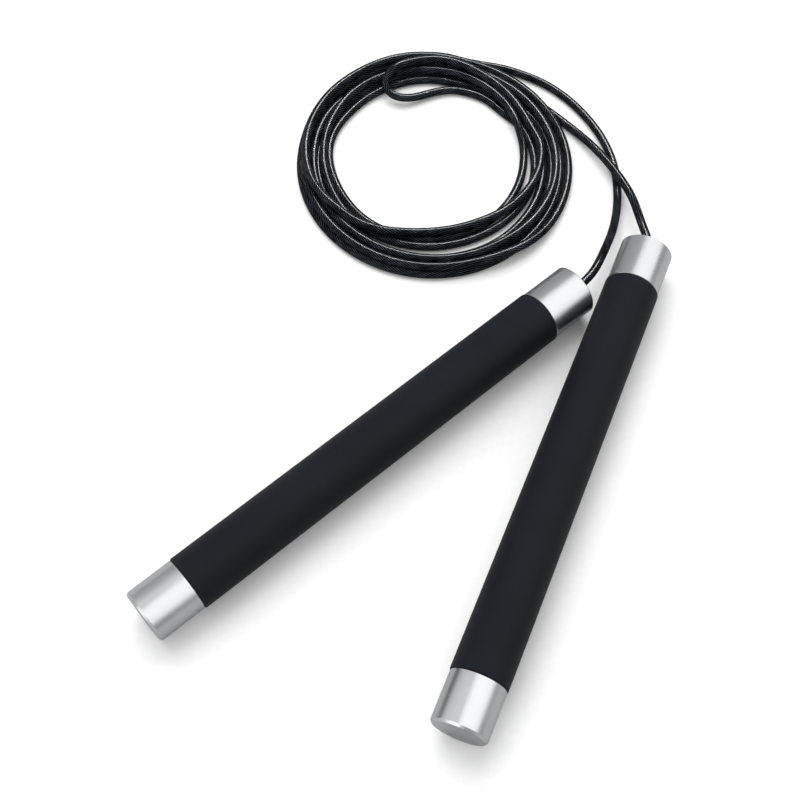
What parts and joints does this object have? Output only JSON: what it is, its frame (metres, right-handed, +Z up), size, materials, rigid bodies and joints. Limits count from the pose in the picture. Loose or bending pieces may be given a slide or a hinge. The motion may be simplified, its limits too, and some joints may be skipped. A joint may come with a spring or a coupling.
{
  "type": "jump rope",
  "caption": "Cable jump rope with long round handles, soft grips and metal end caps, swivelling on ball bearings, its coated cable doubled and coiled flat.",
  "frame": {"origin": "on the floor, under the middle of the two handles' common bounding box", "axes": "+Z up from the floor; +Y away from the handles' rear caps towards the coil; +X from the left handle to the right one"},
  "size_m": [0.2195, 0.3272, 0.023],
  "materials": {
    "cap_aluminium": "satin turned, clear anodised",
    "grip_soft_touch": "matt soft-touch foam skin",
    "tube_aluminium": "drawn tube",
    "bearing_steel": "ground and polished",
    "cage_steel": "pressed strip",
    "spindle_brass": "turned",
    "clip_steel": "spring steel, black phosphate",
    "stop_aluminium": "turned",
    "screw_steel": "black oxide",
    "cable_jacket": "smoked glossy jacket over twisted steel strands"
  },
  "bodies": {
    "rope": {"coil": "cable_jacket", "left_lead": "cable_jacket", "left_swivel_spindle": "spindle_brass", "left_spindle_clip": "clip_steel", "left_cable_stop": "stop_aluminium", "left_stop_screw": "screw_steel", "left_cable_end": "cable_jacket", "left_rear_bearing_inner_race": "bearing_steel", "left_front_bearing_inner_race": "bearing_steel", "right_lead": "cable_jacket", "right_swivel_spindle": "spindle_brass", "right_spindle_clip": "clip_steel", "right_cable_stop": "stop_aluminium", "right_stop_screw": "screw_steel", "right_cable_end": "cable_jacket", "right_rear_bearing_inner_race": "bearing_steel", "right_front_bearing_inner_race": "bearing_steel"},
    "left_handle": {"left_core_tube": "tube_aluminium", "left_grip_sleeve": "grip_soft_touch", "left_rear_cap": "cap_aluminium", "left_front_cap": "cap_aluminium", "left_rear_bearing_outer_race": "bearing_steel", "left_rear_bearing_shields": "cage_steel", "left_front_bearing_outer_race": "bearing_steel", "left_front_bearing_shields": "cage_steel"},
    "left_ball_set": {"left_rear_bearing_balls": "bearing_steel", "left_rear_bearing_cage": "cage_steel", "left_front_bearing_balls": "bearing_steel", "left_front_bearing_cage": "cage_steel"},
    "right_handle": {"right_core_tube": "tube_aluminium", "right_grip_sleeve": "grip_soft_touch", "right_rear_cap": "cap_aluminium", "right_front_cap": "cap_aluminium", "right_rear_bearing_outer_race": "bearing_steel", "right_rear_bearing_shields": "cage_steel", "right_front_bearing_outer_race": "bearing_steel", "right_front_bearing_shields": "cage_steel"},
    "right_ball_set": {"right_rear_bearing_balls": "bearing_steel", "right_rear_bearing_cage": "cage_steel", "right_front_bearing_balls": "bearing_steel", "right_front_bearing_cage": "cage_steel"}
  },
  "joints": [
    {"name": "left_handle_spin", "type": "hinge", "parent": "rope", "child": "left_handle", "pos_m": [-0.0173, 0.01208, 0.0115], "axis": [0.7694, 0.6388, 0], "continuous": true},
    {"name": "left_ball_set_spin", "type": "hinge", "parent": "rope", "child": "left_ball_set", "pos_m": [0.06156, 0.07755, 0.0115], "axis": [0.7694, 0.6388, 0], "continuous": true},
    {"name": "right_handle_spin", "type": "hinge", "parent": "rope", "child": "right_handle", "pos_m": [0.05682, -0.00014, 0.0115], "axis": [0.3907, 0.9205, 0], "continuous": true},
    {"name": "right_ball_set_spin", "type": "hinge", "parent": "rope", "child": "right_ball_set", "pos_m": [0.09687, 0.09421, 0.0115], "axis": [0.3907, 0.9205, 0], "continuous": true}
  ],
  "couplings": [
    {"joint": "left_ball_set_spin", "follows": "left_handle_spin", "ratio": 0.60526},
    {"joint": "right_ball_set_spin", "follows": "right_handle_spin", "ratio": 0.60526}
  ]
}
